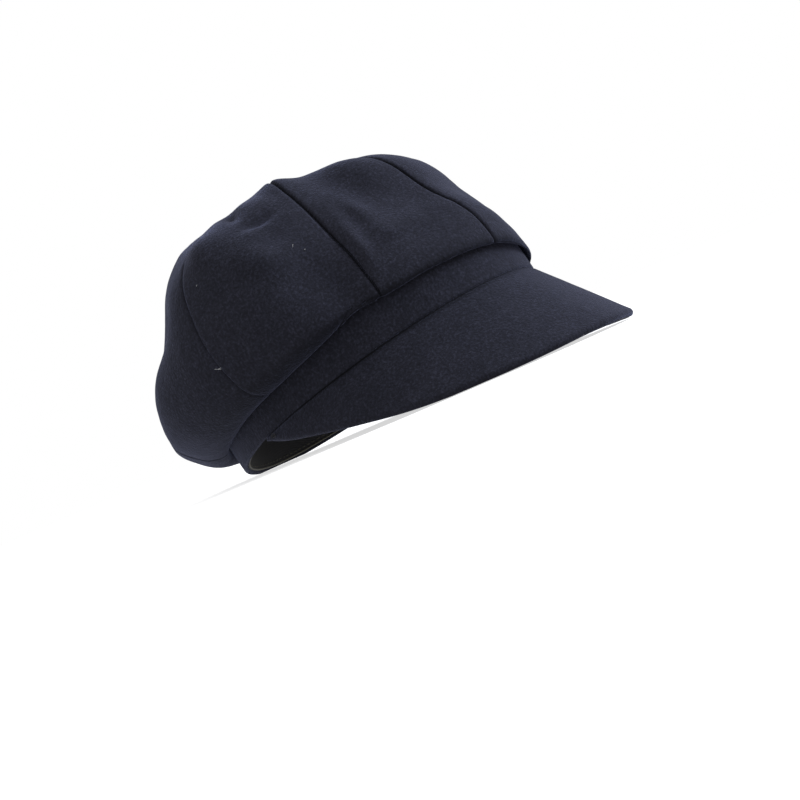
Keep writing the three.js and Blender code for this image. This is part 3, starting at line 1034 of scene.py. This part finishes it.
def make_thread_ends(cover):
    """Dark ends of sewing thread that curl out of the seam at both ends of the peak."""
    strands = []
    for side in (-1, 1):
        angle = np.array(side * THREAD_END_ANGLE)
        at, out = touch(cover, peak_point(angle, THREAD_END_SHARE, 0.0))
        run = unit(ring(angle - side, 1, 0.0) - ring(angle, 1, 0.0))
        run = unit(run - out * (run @ out))
        rise = np.cross(out, run)
        for start, curls, radius in THREAD_CURLS:
            turns = np.linspace(0, curls * 2 * math.pi, THREAD_POINTS)[:, None]
            drift = start + turns * THREAD_DRIFT
            path = run * (drift - radius * np.sin(turns)) + rise * radius * (1 - np.cos(turns))
            path = path + out * (THREAD_LIFT + THREAD_WAVE * np.sin(turns / 2))
            strands.append(strand(at + MM * path, THREAD_RADIUS))
    thread_object("thread_ends", strands, DARK_THREAD)


def sweatband_face(angles, up, set_in=0):
    """Points on the inner face of the sweatband, at a height, or a little way into its cloth."""
    set_back = BAND_THICKNESS + CLOTH_GAP + SWEATBAND_THICKNESS - set_in
    return ring(angles, 1, up) - ring_out(angles) * set_back


def make_sweatband_stitches():
    """Stitches that hold the sweatband, in a row just above its lower edge."""
    shares = np.linspace(STITCH_START, STITCH_END, STITCH_POINTS)
    from_middle = np.abs(np.linspace(-1, 1, STITCH_POINTS))
    sink = STITCH_RADIUS * (STITCH_SINK * from_middle**3 - STITCH_LIFT)
    strands = []
    for angle in np.arange(0, 360, STITCH_STEP):
        points = sweatband_face(angle + STITCH_STEP * shares, STITCH_HEIGHT, sink[:, None])
        strands.append(strand(place(points), STITCH_RADIUS))
    thread_object("sweatband_stitches", strands, OLIVE_THREAD)


def make_sweatband_edge():
    """The olive selvedge along the sweatband's foot."""
    points = sweatband_face(np.arange(0, 361, SELVEDGE_STEP), SELVEDGE_HEIGHT)
    line = strand(place(points), SELVEDGE_RADIUS, tapered=False)
    thread_object("sweatband_edge", [line], OLIVE_THREAD)


def make_lip_line():
    """The pale edge that shows as a thin line where the lining meets the cover under the lip."""
    angles = np.linspace(LIP_LINE_END, -LIP_LINE_END, LIP_LINE_POINTS)
    scale, lip = lip_profile(angles)
    share = (lip + LIP_LINE_OUT * scale) / peak_depth(angles)
    points = peak_point(angles, share, LIP_LINE_DROP * scale)
    line = strand(place(points), LIP_LINE_RADIUS, tapered=False)
    thread_object("lip_line", [line], GREY_THREAD)


# Camera, light and floor


def camera_axes():
    """The camera's right, its up and the way back from what it looks at."""
    azimuth, elevation, roll = (
        math.radians(angle) for angle in (CAMERA_AZIMUTH, CAMERA_ELEVATION, CAMERA_ROLL)
    )
    level = math.cos(elevation)
    back = Vector((math.sin(azimuth) * level, -math.cos(azimuth) * level, math.sin(elevation)))
    right = Vector((0, 0, 1)).cross(back).normalized()
    up = back.cross(right)
    rolled_right = right * math.cos(roll) + up * math.sin(roll)
    rolled_up = up * math.cos(roll) - right * math.sin(roll)
    return rolled_right, rolled_up, back


def make_camera():
    right, up, back = camera_axes()
    middle = Vector(place(np.zeros((1, 3)))[0])
    aim = middle + (right * AIM_RIGHT + up * AIM_UP) * MM
    data = bpy.data.cameras.new("camera")
    data.sensor_width = CAMERA_SENSOR
    data.lens = CAMERA_DISTANCE * data.sensor_width / (PICTURE_PIXELS / PIXELS_PER_MM * MM)
    data.clip_end = CAMERA_CLIP_END
    camera = bpy.data.objects.new("camera", data)
    turn = Matrix((right, up, back)).transposed().to_4x4()
    camera.matrix_world = Matrix.Translation(aim + back * CAMERA_DISTANCE) @ turn
    bpy.context.scene.collection.objects.link(camera)
    bpy.context.scene.camera = camera


def make_light(name, place_at, size, power, colour):
    """A square lamp turned towards the cap."""
    data = bpy.data.lights.new(name, "AREA")
    data.shape = "SQUARE"
    data.size = size
    data.energy = power
    data.color = colour
    light = bpy.data.objects.new(name, data)
    direction = Vector(LAMP_AIM) - Vector(place_at)
    light.rotation_euler = direction.to_track_quat("-Z", "Y").to_euler()
    light.location = place_at
    bpy.context.scene.collection.objects.link(light)


def make_world():
    """A white room: bright behind the cap, and lighting it softly from all round."""
    world = bpy.data.worlds.new("white_room")
    bpy.context.scene.world = world
    world.use_nodes = True
    tree = world.node_tree
    rays = tree.nodes.new("ShaderNodeLightPath")
    direction = tree.nodes.new("ShaderNodeTexCoord")
    split = tree.nodes.new("ShaderNodeSeparateXYZ")
    ramp = tree.nodes.new("ShaderNodeMapRange")
    ramp.inputs["From Min"].default_value = ROOM_BELOW_END
    ramp.inputs["From Max"].default_value = ROOM_ABOVE_START
    ramp.inputs["To Min"].default_value = ROOM_BELOW
    ramp.inputs["To Max"].default_value = ROOM_ABOVE
    strength = tree.nodes.new("ShaderNodeMix")
    strength.inputs["B"].default_value = 1.0
    tree.links.new(direction.outputs["Generated"], split.inputs["Vector"])
    tree.links.new(split.outputs["Z"], ramp.inputs["Value"])
    tree.links.new(rays.outputs["Is Camera Ray"], strength.inputs["Factor"])
    tree.links.new(ramp.outputs["Result"], strength.inputs["A"])
    background = tree.nodes["Background"]
    background.inputs["Color"].default_value = WHITE
    tree.links.new(strength.outputs["Result"], background.inputs["Strength"])


def floor_material():
    material = bpy.data.materials.new("white_floor")
    material.use_nodes = True
    shader = material.node_tree.nodes["Principled BSDF"]
    shader.inputs["Base Color"].default_value = FLOOR_COLOUR
    shader.inputs["Roughness"].default_value = 1.0
    shader.inputs["Specular IOR Level"].default_value = 0.0
    shader.inputs["Emission Color"].default_value = WHITE
    shader.inputs["Emission Strength"].default_value = FLOOR_GLOW
    return material


def make_floor():
    """A white sheet of paper the size of a room, which neither lights the cap nor shows in its sheen."""
    corners = [(-1, -1), (1, -1), (1, 1), (-1, 1)]
    mesh = bpy.data.meshes.new("floor")
    mesh.from_pydata([(x * FLOOR_HALF, y * FLOOR_HALF, 0) for x, y in corners], [], [(0, 1, 2, 3)])
    mesh.materials.append(floor_material())
    floor = bpy.data.objects.new("floor", mesh)
    bpy.context.scene.collection.objects.link(floor)
    floor.location.z = -FLOOR_DROP
    floor.visible_diffuse = False
    floor.visible_glossy = False


bpy.context.scene.view_settings.view_transform = "Standard"
make_camera()
make_world()
make_floor()
make_light("key", KEY_PLACE, KEY_SIZE, KEY_POWER, KEY_COLOUR)
make_light("fill", FILL_PLACE, FILL_SIZE, FILL_POWER, FILL_COLOUR)

crown_panels = [crown_panel(index) for index in range(PANELS)]
make_band()
make_sweatband()
peak_cover = make_peak_cover()
make_peak_lining()
make_lint(crown_panels)
make_thread_ends(peak_cover)
make_sweatband_stitches()
make_sweatband_edge()
make_lip_line()
